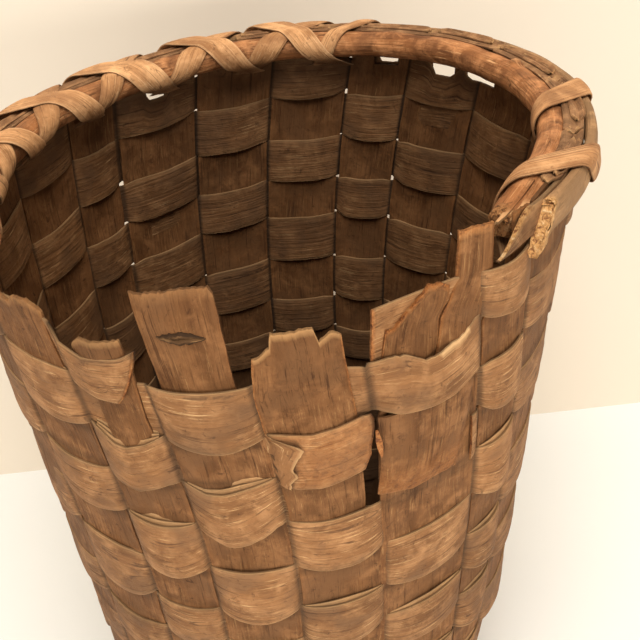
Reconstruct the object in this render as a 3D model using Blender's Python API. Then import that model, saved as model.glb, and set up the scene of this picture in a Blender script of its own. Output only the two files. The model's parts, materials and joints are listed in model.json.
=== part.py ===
# Pack basket: an old plain weave of wide ash splints, square at the foot and
# round at the rim, with a lashed hoop rim that is broken open at the front.
import math

import bmesh
import bpy
from mathutils import Vector

# Wall, in metres: the wall line is the middle of the uprights
base_pitch = 0.0395
corner_room = 0.00675
round_room = 0.016
rim_flare = 0.0235
flare_power = 1.2
base_rise = 0.0125
square_height = 0.115
rim_shift_x = 0.0294
rim_shift_y = -0.0085
twist_height = 0.180
twist_angle = 6.0
first_edge_angle = 132.0

# Uprights, counted clockwise from the back left corner, five to a side
per_side = 5
stake_thickness = 0.0016
stake_width_share = 0.88
base_width_share = 0.86
stake_rise = 0.005
bend_radius = 0.008
bend_steps = 3
pitch_shares = (
    1.17, 1.05, 1.06, 0.84, 1.11, 1.16, 1.05, 1.05, 1.05, 0.69,
    1.17, 0.97, 0.92, 0.81, 1.03, 1.03, 1.03, 1.03, 1.03, 0.72,
)

# Weavers, counted from the rim down
weaver_thickness = 0.0013
weave_gap = 0.0004
foot_slack = 0.0009
edge_gap = 0.0006
row_pitch = 0.0275
rim_drop = 0.0095
float_bow = 0.0022
float_swell_share = 0.12
top_swell_share = 0.03
row_shares = (
    0.92, 1.00, 0.97, 0.97, 1.11, 1.15, 0.94,
    0.83, 1.01, 1.00, 1.02, 0.99, 1.01, 1.00,
)
broken_columns = (13, 30)
broken_start_share = -0.6
broken_end_share = -0.8

# Rim: a round inner hoop, a flat band and a split outer hoop
rim_gap = 0.0003
hoop_radius = 0.007
hoop_sides = 8
band_thickness = 0.0016
band_top = 0.0055
band_bottom = -0.0075
split_thickness = 0.0055
split_top = 0.006
split_bottom = -0.008
split_round = 0.0022
rim_step_angle = 6.0
smooth_angle = 40.0
hoop_arc = (-43.0, 212.0)
band_arc = (-47.0, 209.0)
split_arc = (-39.0, 216.0)

# Lashing strips over the rim
lash_thickness = 0.001
lash_width = 0.019
narrow_lash_share = 0.6
lash_gap = 0.0003
cross_gap = 0.0007
lash_tuck = 0.002
lash_slant = 14.0
lash_inner_angle = 255.0
lash_top_angle = 94.0
lash_steps = 6
lash_angles = (88.0, 107.0, 130.0, 152.0, 174.0, 196.0)
narrow_lash_angle = 72.0
right_lash_angles = (0.0, -28.0)

# Torn tops of the front uprights: each line gives a height, as a share from
# the foot of the top weaver to the rim, the right and left edges, as shares
# of half the pitch, and a lean inwards, as a share of free_lean
free_lean = 0.0096
torn_tops_shares = {
    10: (
        (-0.30, -0.93, 0.66, 0.0),
        (0.20, -0.93, 0.62, 0.0),
        (0.72, -0.93, -0.12, 0.0),
        (0.80, -0.93, -0.58, 0.0),
        (1.25, -1.06, -0.70, 0.4),
    ),
    11: (
        (-0.30, -0.78, 0.93, 0.0),
        (0.25, -0.78, 0.90, 0.0),
        (0.60, -0.80, 0.47, 0.1),
        (0.68, -0.70, 0.40, 0.1),
    ),
    12: (
        (-0.30, -0.70, 0.75, 0.0),
        (0.20, -0.70, 0.75, 0.1),
        (1.20, -0.72, 0.76, 1.0),
    ),
    13: (
        (-0.30, -0.88, 0.86, 0.0),
        (0.58, -0.86, 0.80, 0.0),
        (0.66, -0.60, 0.50, 0.0),
    ),
    14: ((-0.30, -0.88, 0.88, 0.0), (0.90, -0.86, 0.88, 0.0)),
}

# Loose splint laid over the right front upright, below the second weaver
patch_column = 10
patch_thickness = 0.0012
patch_tuck = 0.0042
patch_short = 0.001
patch_edges_shares = (-0.62, 0.72)

# Derived sizes
stake_count = len(pitch_shares)
row_count = len(row_shares)
mean_turn = 360.0 / stake_count
base_half = base_pitch * per_side / 2 + corner_room
foot_radius = base_half + round_room
rim_radius = foot_radius + rim_flare
rim_height = base_rise + row_pitch * sum(row_shares) + rim_drop
collar_height = rim_height - rim_drop
top_zone = rim_drop + row_pitch * row_shares[0]
hoop_centre = rim_radius * math.cos(math.radians(mean_turn * max(pitch_shares) / 2))
hoop_centre -= stake_thickness / 2 + rim_gap + hoop_radius
band_inner = rim_radius + stake_thickness / 2 + rim_gap
split_inner = band_inner + band_thickness + rim_gap
layer_low = stake_thickness / 2
layer_high = layer_low + stake_thickness + rim_gap
weld = 1e-6


def material(name, colour, roughness):
    # Makes a plain finish, or finds it where it has been made
    found = bpy.data.materials.get(name)
    if found:
        return found
    made = bpy.data.materials.new(name)
    made.use_nodes = True
    shader = made.node_tree.nodes["Principled BSDF"]
    shader.inputs["Base Color"].default_value = (*colour, 1.0)
    shader.inputs["Roughness"].default_value = roughness
    shader.inputs["Metallic"].default_value = 0.0
    return made


def wall_share(z):
    # Height as a share of the foot to the collar, upright inside the hoops
    return min(max(z, 0.0), collar_height) / collar_height


def edge_turn(edge, z):
    # Angle of the line between two uprights, with the twist below the rim
    turned = first_edge_angle - mean_turn * sum(pitch_shares[:edge])
    depth_share = min(max(collar_height - z, 0.0) / twist_height, 1.0)
    return math.radians(turned + twist_angle * (1 - (1 - depth_share) ** 2))


def round_edge(edge, z):
    # Point of the round wall between two uprights
    share = wall_share(z)
    radius = foot_radius + (rim_radius - foot_radius) * share ** flare_power
    turned = edge_turn(edge, z)
    across = Vector((math.cos(turned), math.sin(turned), 0)) * radius
    return across + Vector((rim_shift_x, rim_shift_y, 0)) * share


def square_edge(column, step):
    # Point of the square foot at the left or right edge of an upright
    side, slot = divmod(column, per_side)
    along = (slot + step - per_side / 2) * base_pitch
    turned = -side * math.pi / 2
    return Vector((
        along * math.cos(turned) - base_half * math.sin(turned),
        along * math.sin(turned) + base_half * math.cos(turned),
        0,
    ))


def foot_share(z):
    # Height as a share of the square foot, 0 at the bend and 1 where it is round
    return min(max((z - base_rise) / square_height, 0.0), 1.0)


def wall_frame(column, z):
    # Centre, half pitch and outward direction of an upright at a height
    share = foot_share(z)
    roundness = share * share * (3 - 2 * share)
    first = square_edge(column, 0).lerp(round_edge(column, z), roundness)
    last = square_edge(column, 1).lerp(round_edge(column + 1, z), roundness)
    half = (last - first) / 2
    outward = Vector((-half.y, half.x, 0)).normalized()
    return (first + last) / 2, half, outward


def wall_point(column, across, z, offset):
    # Point on the wall: across in half pitches, offset outwards in metres
    centre, half, outward = wall_frame(column % stake_count, z)
    point = centre + half * across + outward * offset
    point.z = z
    return point


def row_top(row):
    return collar_height - row_pitch * sum(row_shares[:row])


def strip_blank(lengthwise, crosswise, closed):
    # A flat unit strip, cut into segments, ready to be shaped
    blank = bmesh.new()
    bmesh.ops.create_grid(blank, x_segments=lengthwise, y_segments=crosswise, size=0.5)
    raised = bmesh.ops.extrude_face_region(blank, geom=blank.faces[:])
    moved = [item for item in raised["geom"] if isinstance(item, bmesh.types.BMVert)]
    bmesh.ops.translate(blank, verts=moved, vec=(0, 0, 1))
    if closed:
        ends = [face for face in blank.faces if abs(face.calc_center_median().x) > 0.5 - weld]
        bmesh.ops.delete(blank, geom=ends, context="FACES_ONLY")
    return blank


def finish(name, blank, finish_material, smooth=False):
    # Turns the shaped blank into a named object
    bmesh.ops.recalc_face_normals(blank, faces=blank.faces)
    mesh = bpy.data.meshes.new(name)
    blank.to_mesh(mesh)
    blank.free()
    mesh.materials.append(finish_material)
    if smooth:
        mesh.shade_smooth()
        mesh.set_sharp_from_angle(angle=math.radians(smooth_angle))
    made = bpy.data.objects.new(name, mesh)
    bpy.context.scene.collection.objects.link(made)
    return made


def bend_strip(name, stations, finish_material, closed=False):
    # Bends a flat strip through stations, each a row of inner points and a
    # row of outer points across the strip
    lengthwise = len(stations) if closed else len(stations) - 1
    crosswise = len(stations[0][0]) - 1
    blank = strip_blank(lengthwise, crosswise, closed)
    for vert in blank.verts:
        place = round((vert.co.x + 0.5) * lengthwise) % len(stations)
        across = round((vert.co.y + 0.5) * crosswise)
        layer = 1 if vert.co.z > 0.5 else 0
        vert.co = stations[place][layer][across]
    if closed:
        bmesh.ops.remove_doubles(blank, verts=blank.verts, dist=weld)
    return finish(name, blank, finish_material)


def stake_edges(column, z):
    # Right and left edges of an upright at a height, as shares of half the pitch
    right, left = -stake_width_share, stake_width_share
    if column in torn_tops_shares:
        right, left = torn_tops_shares[column][0][1:3]
    share = foot_share(z)
    right = -base_width_share + (right + base_width_share) * share
    left = base_width_share + (left - base_width_share) * share
    return right, left


def float_place(column, place, z):
    # Where a weaver leaves an upright at its right or left, or its middle
    right, left = stake_edges(column % stake_count, z)
    clear = edge_gap / wall_frame(column % stake_count, z)[1].length
    return {"right": right - clear, "middle": (right + left) / 2, "left": left + clear}[place]


def weaver_station(row, column, place, swell, fixed_share=None):
    # A cross section of one weaver at a place on its way in and out
    side = 1 if (row + column) % 2 else -1
    reach = stake_thickness / 2 + weave_gap + weaver_thickness / 2 + float_bow * swell
    height = row_pitch * row_shares[row]
    rise = height * (top_swell_share if row == 0 else float_swell_share) * swell
    drop = height * (0 if row == row_count - 1 else float_swell_share) * swell
    top = row_top(row) - rim_gap + rise
    bottom = row_top(row + 1) + rim_gap - drop
    cuts = 2 if row_top(row) < base_rise + square_height else 1
    inner = []
    outer = []
    for step in range(cuts + 1):
        z = bottom + (top - bottom) * step / cuts
        across = float_place(column, place, z) if fixed_share is None else fixed_share
        slack = foot_slack * 4 * foot_share(z) * (1 - foot_share(z))
        middle = side * (reach + slack)
        inner.append(wall_point(column, across, z, middle - weaver_thickness / 2))
        outer.append(wall_point(column, across, z, middle + weaver_thickness / 2))
    return inner, outer


def weaver(row):
    # One weaver round the basket; the top one is broken open at the front
    stations = []
    broken = row == 0
    first, last = (broken_columns if broken else (0, stake_count - 1))
    for column in range(first, last + 1):
        start = broken_start_share if broken and column == first else None
        stations.append(weaver_station(row, column, "right", 0.0, start))
        stations.append(weaver_station(row, column, "middle", 1.0))
        stations.append(weaver_station(row, column, "left", 0.0))
    if broken:
        stations.append(weaver_station(row, last + 1, "right", 0.0, broken_end_share))
    splint_finish = material("weaver_splint", (0.33, 0.19, 0.10), 0.62)
    return bend_strip(f"weaver_{row + 1:02d}", stations, splint_finish, closed=not broken)


def torn_lines(column):
    # Height, edges and lean of the free end of an upright, from its top down
    if column not in torn_tops_shares:
        return [(rim_height + stake_rise, *stake_edges(column, rim_height), 0.0)]
    foot = rim_height - top_zone
    lines = [(foot + top_zone * high, *rest) for high, *rest in torn_tops_shares[column]]
    return list(reversed(lines))


def wall_heights(top):
    # Heights of an upright's stations: every second row, closer at the foot
    rows = [row_top(row) for row in range(row_count)]
    upper = [z for z in rows[3::2] if z > base_rise + square_height + row_pitch]
    lower = [z for z in rows if z <= base_rise + square_height + row_pitch]
    heights = rows[:2] + upper + lower + [base_rise]
    heights += [(above + below) / 2 for above, below in zip(lower, lower[1:] + [base_rise])]
    return [z for z in sorted(heights, reverse=True) if z < top - rim_gap]


def wall_stations(column, flip):
    # Stations of an upright from its top down to the bend at the foot
    found = []
    half = stake_thickness / 2
    lines = torn_lines(column)
    for z in wall_heights(lines[-1][0]):
        lines.append((z, *stake_edges(column, z), 0.0))
    for z, right, left, lean in lines:
        edges = (left, right) if flip else (right, left)
        inset = lean * free_lean
        inner = [wall_point(column, across, z, -half - inset) for across in edges]
        outer = [wall_point(column, across, z, half - inset) for across in edges]
        found.append((inner, outer))
    return found


def base_stations(lane, forward, sideways, levels):
    # Stations of the strip across the foot: a bend, five crossings, a bend
    half = stake_thickness / 2
    wide = base_pitch * base_width_share / 2
    flat = wide + edge_gap
    lateral = (lane - per_side // 2) * base_pitch

    def station(along, z, normal):
        rows = []
        for offset in (-half, half):
            centre = forward * along + Vector((0, 0, z)) + normal * offset
            rows.append([centre + sideways * (lateral + edge) for edge in (-wide, wide)])
        return rows

    def bend(level, end):
        made = []
        for step in range(bend_steps + 1):
            turned = math.pi / 2 * step / bend_steps
            normal = forward * end * math.cos(turned) - Vector((0, 0, math.sin(turned)))
            along = end * (base_half - bend_radius + bend_radius * math.cos(turned))
            z = level + bend_radius - bend_radius * math.sin(turned)
            made.append(station(along, z, normal))
        return made

    down = Vector((0, 0, -1))
    found = bend(levels[0], -1)
    for crossing, level in enumerate(levels):
        place = (crossing - per_side // 2) * base_pitch
        found.append(station(place - flat, level, down))
        found.append(station(place + flat, level, down))
    return found + list(reversed(bend(levels[-1], 1)))


def splint(name, lane, first, last, forward, sideways, levels):
    # One long splint: down the wall, across the foot and up the other side
    stations = wall_stations(first, False)
    stations += base_stations(lane, forward, sideways, levels)
    stations += list(reversed(wall_stations(last, True)))
    splint_finish = material("stake_splint", (0.30, 0.17, 0.09), 0.65)
    return bend_strip(name, stations, splint_finish)


def splints():
    # Five splints from back to front and five from right to left, woven
    made = []
    back, left = Vector((0, -1, 0)), Vector((-1, 0, 0))
    lanes = range(per_side)
    for lane in lanes:
        levels = [layer_low if (lane + other) % 2 == 0 else layer_high for other in lanes]
        name = f"splint_back_front_{lane + 1}"
        first, last = lane, 3 * per_side - 1 - lane
        made.append(splint(name, lane, first, last, back, Vector((1, 0, 0)), levels))
    for lane in lanes:
        levels = [layer_high if (lane + other) % 2 == 0 else layer_low for other in reversed(lanes)]
        name = f"splint_right_left_{lane + 1}"
        first, last = per_side + lane, 4 * per_side - 1 - lane
        made.append(splint(name, lane, first, last, left, Vector((0, -1, 0)), levels))
    return made


def rim_centre():
    return Vector((rim_shift_x, rim_shift_y, rim_height))


def spun_arc(name, outline, arc, finish_material):
    # Spins a closed outline, in radius and height, part of the way round
    first, last = (math.radians(angle) for angle in arc)
    steps = round((arc[1] - arc[0]) / rim_step_angle)
    blank = bmesh.new()
    verts = []
    for radius, height in outline:
        place = Vector((radius * math.cos(first), radius * math.sin(first), height))
        verts.append(blank.verts.new(place + rim_centre()))
    face = blank.faces.new(verts)
    bmesh.ops.spin(
        blank, geom=[face] + face.edges[:] + verts, cent=rim_centre(), axis=(0, 0, 1),
        angle=last - first, steps=steps, use_duplicate=False,
    )
    return finish(name, blank, finish_material, smooth=True)


def rim():
    # The round hoop inside the wall, and the band and split hoop outside
    hoop = []
    for side in range(hoop_sides):
        turned = 2 * math.pi * side / hoop_sides
        hoop.append((hoop_centre + hoop_radius * math.cos(turned), hoop_radius * math.sin(turned)))
    band_outer = band_inner + band_thickness
    band = [
        (band_inner, band_bottom), (band_outer, band_bottom),
        (band_outer, band_top), (band_inner, band_top),
    ]
    split_outer = split_inner + split_thickness
    split = [
        (split_inner, split_bottom), (split_outer - split_round, split_bottom),
        (split_outer, split_bottom + split_round), (split_outer, split_top - split_round),
        (split_outer - split_round, split_top), (split_inner, split_top),
    ]
    return [
        spun_arc("inner_hoop", hoop, hoop_arc, material("hoop_wood", (0.27, 0.12, 0.06), 0.5)),
        spun_arc("rim_band", band, band_arc, material("stake_splint", (0.30, 0.17, 0.09), 0.65)),
        spun_arc("outer_hoop", split, split_arc, material("hoop_split", (0.36, 0.22, 0.12), 0.6)),
    ]


def lash_outline(offset):
    # Way of a lashing over the rim, in radius and height, from inside to out,
    # with the outward direction at each point
    found = []
    for step in range(lash_steps + 1):
        share = step / lash_steps
        turned = math.radians(lash_inner_angle + (lash_top_angle - lash_inner_angle) * share)
        normal = Vector((math.cos(turned), math.sin(turned)))
        found.append((Vector((hoop_centre, 0)) + normal * (hoop_radius + offset), normal))
    outer = split_inner + split_thickness
    corner = Vector((1, 1)).normalized()
    found.append((Vector((outer - split_round, split_top + offset)), Vector((0, 1))))
    found.append((Vector((outer, split_top - split_round)) + corner * offset, corner))
    found.append((Vector((outer + offset, split_top - split_round)), Vector((1, 0))))
    found.append((Vector((outer + offset, split_bottom + split_round)), Vector((1, 0))))
    corner = Vector((1, -1)).normalized()
    found.append((Vector((outer, split_bottom + split_round)) + corner * offset, corner))
    found.append((Vector((outer - split_round, split_bottom - offset)), Vector((0, -1))))
    found.append((Vector((outer - split_round - lash_tuck, split_bottom - offset)), Vector((0, -1))))
    return found


def lashing(name, angle, slant, layer, width):
    # One strip laid over the rim on a slant, its ends tucked under the hoops
    offset = lash_gap + lash_thickness / 2 + layer * (lash_thickness + cross_gap)
    way = lash_outline(offset)
    half_turn = width / 2 / rim_radius
    stations = []
    for place, (point, normal) in enumerate(way):
        turned = math.radians(angle + slant * (0.5 - place / (len(way) - 1)))
        spread = 1 / math.cos(half_turn) if point.x > rim_radius else 1.0
        rows = []
        for side in (-lash_thickness / 2, lash_thickness / 2):
            level = point + normal * side
            row = []
            for edge in (-half_turn, half_turn):
                around = Vector((math.cos(turned + edge), math.sin(turned + edge), 0))
                row.append(rim_centre() + around * level.x * spread + Vector((0, 0, level.y)))
            rows.append(row)
        stations.append(rows)
    strip_finish = material("lashing_splint", (0.60, 0.36, 0.19), 0.55)
    return bend_strip(name, stations, strip_finish)


def lashings():
    # Crossed strips round the left and the back, and three single ones
    made = []
    for count, angle in enumerate(lash_angles, 1):
        made.append(lashing(f"lashing_under_{count}", angle, lash_slant, 0, lash_width))
        made.append(lashing(f"lashing_over_{count}", angle, -lash_slant, 1, lash_width))
    narrow = lash_width * narrow_lash_share
    made.append(lashing("lashing_narrow", narrow_lash_angle, lash_slant, 0, narrow))
    for count, angle in enumerate(right_lash_angles, 1):
        made.append(lashing(f"lashing_right_{count}", angle, lash_slant, 0, lash_width))
    return made


def patch():
    # The loose splint over the fourth weaver on the right front upright
    reach = stake_thickness / 2 + weave_gap + weaver_thickness + float_bow + weave_gap
    top = row_top(2) - patch_tuck
    bottom = row_top(4) + patch_short
    stations = []
    for z in (top, row_top(3), bottom):
        rows = []
        for offset in (reach, reach + patch_thickness):
            row = [wall_point(patch_column, across, z, offset) for across in patch_edges_shares]
            rows.append(row)
        stations.append(rows)
    splint_finish = material("weaver_splint", (0.33, 0.19, 0.10), 0.62)
    return bend_strip("patch_splint", stations, splint_finish)


def centre_on_floor(pieces):
    # Moves the whole basket so that its box stands centred on the origin
    corners = [piece.matrix_world @ vert.co for piece in pieces for vert in piece.data.vertices]
    low = [min(corner[axis] for corner in corners) for axis in range(3)]
    high = [max(corner[axis] for corner in corners) for axis in range(3)]
    shift = Vector((-(low[0] + high[0]) / 2, -(low[1] + high[1]) / 2, -low[2]))
    for piece in pieces:
        for vert in piece.data.vertices:
            vert.co += shift
    print("shift", [round(value, 5) for value in shift])


def build():
    for old in list(bpy.data.objects):
        bpy.data.objects.remove(old)
    pieces = splints()
    pieces += [weaver(row) for row in range(row_count)]
    pieces += rim()
    pieces += lashings()
    pieces.append(patch())
    centre_on_floor(pieces)
    faces = sum(len(piece.data.polygons) for piece in pieces)
    print("pieces", len(pieces), "faces", faces, "rim height", round(rim_height, 4))


build()
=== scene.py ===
import json
from math import copysign, cos, degrees, hypot, pi, radians, sin
from random import Random

import bmesh
import bpy
from mathutils import Matrix, Vector, noise


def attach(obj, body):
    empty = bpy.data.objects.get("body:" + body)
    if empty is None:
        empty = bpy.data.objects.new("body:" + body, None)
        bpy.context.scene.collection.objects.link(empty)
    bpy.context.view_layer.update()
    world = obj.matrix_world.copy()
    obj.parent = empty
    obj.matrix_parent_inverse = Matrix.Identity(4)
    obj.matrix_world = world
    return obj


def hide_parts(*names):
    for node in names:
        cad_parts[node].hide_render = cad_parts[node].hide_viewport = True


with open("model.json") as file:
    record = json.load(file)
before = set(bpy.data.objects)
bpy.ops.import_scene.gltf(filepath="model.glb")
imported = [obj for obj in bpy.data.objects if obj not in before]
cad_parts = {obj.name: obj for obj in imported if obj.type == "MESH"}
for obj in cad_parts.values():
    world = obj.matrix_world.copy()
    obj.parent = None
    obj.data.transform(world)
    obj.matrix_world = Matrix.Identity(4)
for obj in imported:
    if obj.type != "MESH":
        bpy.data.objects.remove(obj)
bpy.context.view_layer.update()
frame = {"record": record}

footCentre = Vector(frame["record"]["mounts"][0]["pos_m"])

# The wall that every splint follows, with the same sizes as the solids
wall = {
    "basePitch": 0.0395, "baseHalf": 0.1055, "baseRise": 0.0125, "squareHeight": 0.115,
    "footRadius": 0.1215, "rimRadius": 0.145, "flarePower": 1.2, "lean": (0.0294, -0.0085),
    "twistHeight": 0.18, "twistAngle": 6.0, "firstEdge": 132.0, "perSide": 5,
    "pitches": (1.17, 1.05, 1.06, 0.84, 1.11, 1.16, 1.05, 1.05, 1.05, 0.69,
                1.17, 0.97, 0.92, 0.81, 1.03, 1.03, 1.03, 1.03, 1.03, 0.72),
    "rowPitch": 0.0275, "rimDrop": 0.0095,
    "rows": (0.92, 1.00, 0.97, 0.97, 1.11, 1.15, 0.94, 0.83, 1.01, 1.00, 1.02, 0.99, 1.01, 1.00),
}
stakeCount = len(wall["pitches"])
rowCount = len(wall["rows"])
meanTurn = 360 / stakeCount
collar = wall["baseRise"] + wall["rowPitch"] * sum(wall["rows"])
rimHeight = collar + wall["rimDrop"]
rimCentre = footCentre + Vector((*wall["lean"], rimHeight))
rowTops = [collar - wall["rowPitch"] * sum(wall["rows"][:row]) for row in range(rowCount + 1)]


def smooth(value, low, high):  # 0 at low and 1 at high, eased at both
    share = min(max((value - low) / (high - low), 0), 1)
    return share * share * (3 - 2 * share)


def nearEdge(share, width):  # 1 on both edges of a strip, 0 further in than the width
    return smooth(min(share, 1 - share), width, 0.0)


def thinned(t, share):  # a share on both edges of a strip, 1 between them
    return share if t in (0.0, 1.0) else 1.0


def steps(count):  # even shares from 0 to 1
    return [step / count for step in range(count + 1)]


def mix(first, last, share):
    return first + (last - first) * share


def along(points, place):  # height of a line through points
    if place <= points[0][0]:
        return points[0][1]
    for (low, first), (high, last) in zip(points, points[1:]):
        if place <= high:
            return mix(first, last, (place - low) / (high - low))
    return points[-1][1]


def wobble(point, size, seed=0.0):  # smooth noise between -1 and 1
    return noise.noise(Vector(point) / size + Vector((seed * 7.31, seed * 3.17, seed * 5.71)))


def dice(*key):  # one steady random number for a place on the basket
    return Random(repr(key)).random()


def ray(angle, z=0):  # level direction at an angle, with a height
    return Vector((cos(angle), sin(angle), z))


def faceSide(outer):
    return 0.5 if outer else -0.5


def edgeTurn(edge, z):  # angle of the line between two uprights
    turned = wall["firstEdge"] - meanTurn * sum(wall["pitches"][:edge])
    depth = min(max(collar - z, 0) / wall["twistHeight"], 1)
    return radians(turned + wall["twistAngle"] * (1 - (1 - depth) ** 2))


def roundEdge(edge, z):  # that line on the round wall
    share = min(max(z, 0), collar) / collar
    radius = mix(wall["footRadius"], wall["rimRadius"], share ** wall["flarePower"])
    return ray(edgeTurn(edge, z)) * radius + Vector((*wall["lean"], 0)) * share


def squareEdge(column, step):  # and on the square foot
    side, slot = divmod(column, wall["perSide"])
    run = (slot + step - wall["perSide"] / 2) * wall["basePitch"]
    return Matrix.Rotation(-side * pi / 2, 3, "Z") @ Vector((run, wall["baseHalf"], 0))


def footShare(z):  # 0 on the square foot and 1 where the wall is round
    return min(max((z - wall["baseRise"]) / wall["squareHeight"], 0), 1)


frameStore = {}


def wallFrame(column, z):
    key = (column, round(z, 6))
    if key not in frameStore:
        roundness = smooth(footShare(z), 0, 1)
        first = squareEdge(column, 0).lerp(roundEdge(column, z), roundness)
        last = squareEdge(column, 1).lerp(roundEdge(column + 1, z), roundness)
        half = (last - first) / 2
        frameStore[key] = ((first + last) / 2, half, Vector((-half.y, half.x, 0)).normalized())
    return frameStore[key]


def wallPoint(column, across, z, offset):
    # across runs from -1 to 1 over an upright's share of the wall
    centre, half, outward = wallFrame(column % stakeCount, z)
    point = centre + half * across + outward * offset + footCentre
    point.z = z
    return point


def weaveSide(row, column):  # 1 where a weaver passes outside an upright
    return 1 if (row + column) % 2 else -1


def weaveWave(column, z):  # the same, turning smoothly from row to row
    for row in range(rowCount):
        if z > rowTops[row + 1]:
            share = min((z - rowTops[row + 1]) / (rowTops[row] - rowTops[row + 1]), 1)
            return weaveSide(row, column) * sin(pi * share)
    return 0.0


insideShade = {
    "top": 0.44, "deep": 0.48, "from": 0.29, "to": 0.10, "patch": 0.32, "size": 0.035,
    "sides": 0.27, "sideFrom": 0.05, "sideTo": 0.13,
}


def deepDark(spot):  # painted shade inside the basket: darker towards the foot, lighter towards the left and right, in patches
    whole = insideShade["top"] + insideShade["deep"] * smooth(spot.z, insideShade["from"], insideShade["to"])
    whole -= insideShade["sides"] * smooth(abs(spot.x), insideShade["sideFrom"], insideShade["sideTo"])
    return whole * (1 + insideShade["patch"] * wobble(spot, insideShade["size"], 13))


# Making strips and tubes
# Marks on each point: tone, torn raw wood, a darkening that is partly real dark marks and partly painted shade,
# and pale
markNames = ("tone", "torn", "grimeAndShade", "pale")


def layOut(blank, places, lengthwise, cuts, shape, uvSize):
    # each point of a flat grid gets its pattern place, then goes to its spot on the basket
    uvLayer = blank.loops.layers.uv.new("UVMap")
    for face in blank.faces:
        for loop in face.loops:
            at = loop.vert.co
            loop[uvLayer].uv = ((at.x + 0.5) * uvSize[0] + uvSize[2], (at.y + 0.5) * uvSize[1] + at.z)
    marks = [blank.verts.layers.float.new(name) for name in markNames]
    for vert in blank.verts:
        place = places[round((vert.co.x + 0.5) * lengthwise) % len(places)]
        vert.co, values = shape(place, round((vert.co.y + 0.5) * cuts) / cuts, vert.co.z > 0.5)
        for layer, value in zip(marks, values):
            vert[layer] = value


def joinTo(body, blank):
    bmesh.ops.recalc_face_normals(blank, faces=blank.faces)
    held = bpy.data.meshes.new("held")
    blank.to_mesh(held)
    blank.free()
    body.from_mesh(held)
    bpy.data.meshes.remove(held)


def addStrip(body, places, cuts, shape, uvSize, closed=False):
    # a flat grid with thickness; a closed one is a ring
    blank = bmesh.new()
    lengthwise = len(places) if closed else len(places) - 1
    bmesh.ops.create_grid(blank, x_segments=lengthwise, y_segments=cuts, size=0.5)
    raised = bmesh.ops.extrude_face_region(blank, geom=blank.faces[:])
    top = [item for item in raised["geom"] if isinstance(item, bmesh.types.BMVert)]
    bmesh.ops.translate(blank, verts=top, vec=(0, 0, 1))
    if closed:
        ends = [face for face in blank.faces if abs(face.calc_center_median().x) > 0.4999]
        bmesh.ops.delete(blank, geom=ends, context="FACES_ONLY")
    layOut(blank, places, lengthwise, cuts, shape, uvSize)
    if closed:
        bmesh.ops.remove_doubles(blank, verts=blank.verts, dist=1e-6)
    joinTo(body, blank)


def addTube(body, places, around, shape, uvSize):
    # a flat grid rolled into a tube, with its two ends closed
    blank = bmesh.new()
    lengthwise = len(places) - 1
    bmesh.ops.create_grid(blank, x_segments=lengthwise, y_segments=around, size=0.5)
    layOut(blank, places, lengthwise, around, lambda place, t, outer: shape(place, t), uvSize)
    bmesh.ops.remove_doubles(blank, verts=blank.verts, dist=1e-6)
    bmesh.ops.holes_fill(blank, edges=[edge for edge in blank.edges if edge.is_boundary], sides=0)
    joinTo(body, blank)


def newBody():
    body = bmesh.new()
    body.loops.layers.uv.new("UVMap")
    for name in markNames:
        body.verts.layers.float.new(name)
    return body


def addObject(name, data):
    made = bpy.data.objects.new(name, data)
    bpy.context.scene.collection.objects.link(made)
    return made


def meshObject(name, body, finish):
    mesh = bpy.data.meshes.new(name)
    body.to_mesh(mesh)
    body.free()
    mesh.materials.append(finish)
    return addObject(name, mesh)


sharpAngle = 50


def finishPiece(solid, body, finish):  # solid is the node that the piece is shown for
    piece = meshObject("visual_" + solid, body, finish)
    piece.data.shade_smooth()
    piece.data.set_sharp_from_angle(angle=radians(sharpAngle))
    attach(piece, "root")
    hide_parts(solid)


# Materials
def node(tree, kind, inputs=None, **settings):
    made = tree.nodes.new(kind)
    for name, value in settings.items():
        setattr(made, name, value)
    for key, value in (inputs or {}).items():
        if isinstance(value, bpy.types.NodeSocket):
            tree.links.new(value, made.inputs[key])
        else:
            made.inputs[key].default_value = value
    return made


def mathNode(tree, operation, *values):
    return node(tree, "ShaderNodeMath", dict(enumerate(values)), operation=operation).outputs[0]


def ramp(tree, value, low, high):  # 0 below low and 1 above high
    ends = {"Value": value, "From Min": low, "From Max": high}
    return node(tree, "ShaderNodeMapRange", ends, clamp=True).outputs[0]


def mixColour(tree, share, first, second, blend="MIX"):
    given = {0: share}
    for key, value in ((6, first), (7, second)):
        given[key] = value if isinstance(value, bpy.types.NodeSocket) else (*value, 1.0)
    settings = {"data_type": "RGBA", "blend_type": blend, "clamp_result": True}
    return node(tree, "ShaderNodeMix", given, **settings).outputs[2]


def noiseNode(tree, vector, scale, detail=3.0, roughness=0.55, distortion=0.0):
    given = {"Vector": vector, "Scale": scale, "Detail": detail, "Roughness": roughness}
    return node(tree, "ShaderNodeTexNoise", {**given, "Distortion": distortion}).outputs["Fac"]


def stretched(tree, vector, lengthwise, crosswise):
    scale = (lengthwise, crosswise, 1.0)
    return node(tree, "ShaderNodeMapping", {"Vector": vector, "Scale": scale}).outputs[0]


# Lines in the wood: scale along and across the splint, detail and roughness
lineKinds = {
    "Fibre": (50, 900, 5.0, 0.75), "Streak": (20, 420, 4.0, 0.7), "Band": (12, 110, 3.0, 0.6),
    "Split": (7, 120, 1.0, 0.55),
}
lineBend = {"scale": (9, 30), "detail": 2.0, "reach": 0.006}
splitWidth = (0.006, 0.002)


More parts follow.
